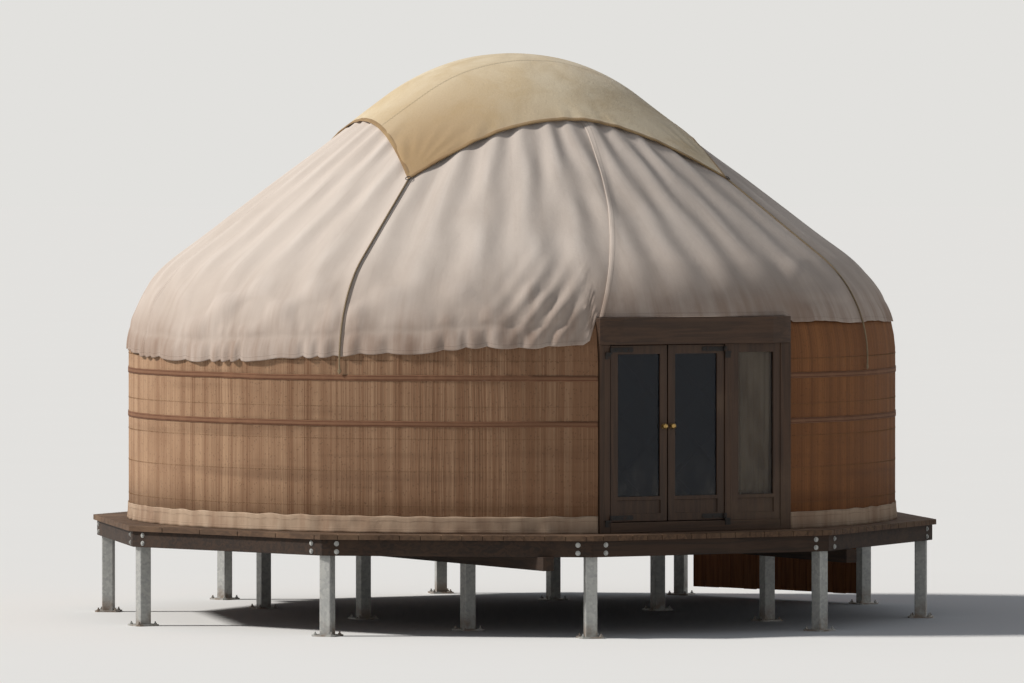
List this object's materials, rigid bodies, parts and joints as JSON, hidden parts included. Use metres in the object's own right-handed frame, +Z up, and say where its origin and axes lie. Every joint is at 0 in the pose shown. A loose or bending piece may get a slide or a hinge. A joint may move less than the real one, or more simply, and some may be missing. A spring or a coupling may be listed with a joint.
{
  "type": "felt yurt on a raised timber deck",
  "caption": "Round yurt with lattice walls, reed mats, canvas roof and a glazed double door, on a raised polygonal deck with metal posts.",
  "frame": {"origin": "on the yurt's upright axis at ground level, under the middle of the deck", "axes": "+Z up, the door faces -Y, +X to the right of someone who faces +Y"},
  "size_m": [6.6, 6.277, 4.3561],
  "materials": {
    "canvas": "sun-bleached off-white canvas, matte",
    "crown_felt": "ochre felt cover, matte",
    "reed": "dry reed stalks, satin",
    "base_canvas": "pale canvas, dusty",
    "woven_band": "woven wool band",
    "rope": "hair rope",
    "lattice_wood": "stained willow laths",
    "bent_wood": "stained bent willow",
    "door_wood": "dark stained timber",
    "glass": "clear pane",
    "curtain_cloth": "unbleached cloth",
    "floor_timber": "weathered boards",
    "beam_timber": "dark stained beams",
    "skirt_timber": "orange-brown boards",
    "post_steel": "galvanised, dull",
    "forged_steel": "blackened",
    "brass": "worn"
  },
  "bodies": {
    "yurt": {"base_band": "base_canvas", "bearers": "beam_timber", "corner_ropes": "rope", "crown_bars": "bent_wood", "crown_cover": "crown_felt", "crown_ring": "bent_wood", "door_jambs": "door_wood", "door_lintel": "door_wood", "door_mullion": "door_wood", "door_pintles": "forged_steel", "door_threshold": "door_wood", "floor_boards": "floor_timber", "girth_bands": "woven_band", "inner_posts": "post_steel", "joists": "beam_timber", "lattice_left_front": "lattice_wood", "lattice_left_middle": "lattice_wood", "lattice_left_rear": "lattice_wood", "lattice_right_front": "lattice_wood", "lattice_right_middle": "lattice_wood", "lattice_right_rear": "lattice_wood", "outer_posts": "post_steel", "reed_mat_left_front": "reed", "reed_mat_left_rear": "reed", "reed_mat_right_front": "reed", "reed_mat_right_rear": "reed", "rim_beams": "beam_timber", "roof_canvas_front": "canvas", "roof_canvas_left": "canvas", "roof_canvas_left_front": "canvas", "roof_canvas_left_rear": "canvas", "roof_canvas_rear": "canvas", "roof_canvas_right": "canvas", "roof_canvas_right_front": "canvas", "roof_canvas_right_rear": "canvas", "roof_poles_door": "bent_wood", "roof_poles_left": "bent_wood", "roof_poles_right": "bent_wood", "sidelight_curtain": "curtain_cloth", "sidelight_frame": "door_wood", "sidelight_glass": "glass", "skirt_panel": "skirt_timber"},
    "left_leaf": {"left_leaf_frame": "door_wood", "left_leaf_glass": "glass", "left_leaf_knobs": "brass", "left_leaf_straps": "forged_steel"},
    "right_leaf": {"right_leaf_frame": "door_wood", "right_leaf_glass": "glass", "right_leaf_knobs": "brass", "right_leaf_straps": "forged_steel"}
  },
  "joints": [
    {"name": "left_leaf_hinge", "type": "hinge", "parent": "yurt", "child": "left_leaf", "pos_m": [-0.728, -2.886, 1.56], "axis": [0, 0, -1], "range_deg": [0, 100]},
    {"name": "right_leaf_hinge", "type": "hinge", "parent": "yurt", "child": "right_leaf", "pos_m": [0.248, -2.886, 1.56], "axis": [0, 0, 1], "range_deg": [0, 100]}
  ]
}
